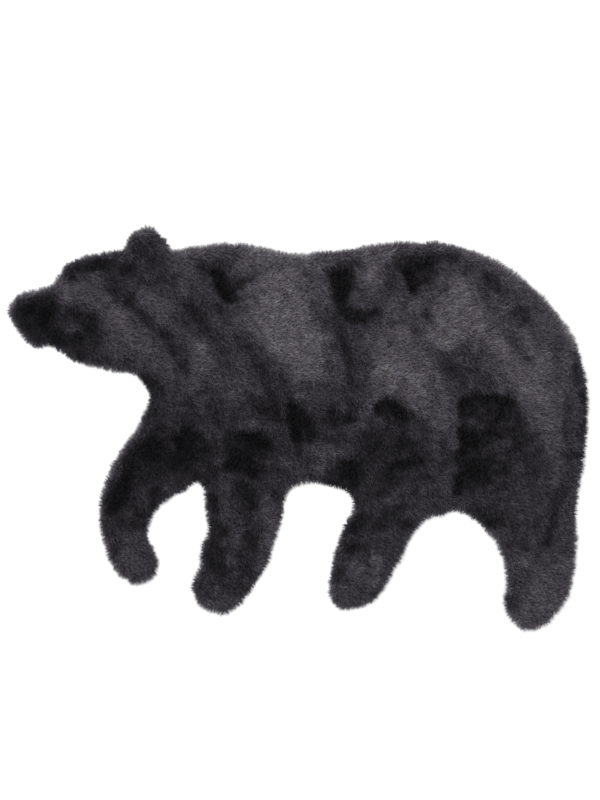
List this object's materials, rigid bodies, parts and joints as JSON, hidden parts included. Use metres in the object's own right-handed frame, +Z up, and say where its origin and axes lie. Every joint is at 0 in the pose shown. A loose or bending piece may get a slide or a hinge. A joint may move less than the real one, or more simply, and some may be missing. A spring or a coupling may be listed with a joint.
{
  "type": "kids rug",
  "caption": "Flat plush rug cut to the outline of a walking bear, with a thick dark pile and a furry rim; it lies on a floor.",
  "frame": {"origin": "the point of the flat underside below the middle of the overall plan, on the floor plane", "axes": "+X from the nose to the tail, +Y from the feet to the back, +Z up out of the pile"},
  "size_m": [1.197, 0.8288, 0.0176],
  "materials": {
    "charcoal_plush": "deep soft plush pile, charcoal grey with a faint violet cast"
  },
  "bodies": {
    "root": {"pile_cloth": "charcoal_plush"}
  },
  "joints": []
}
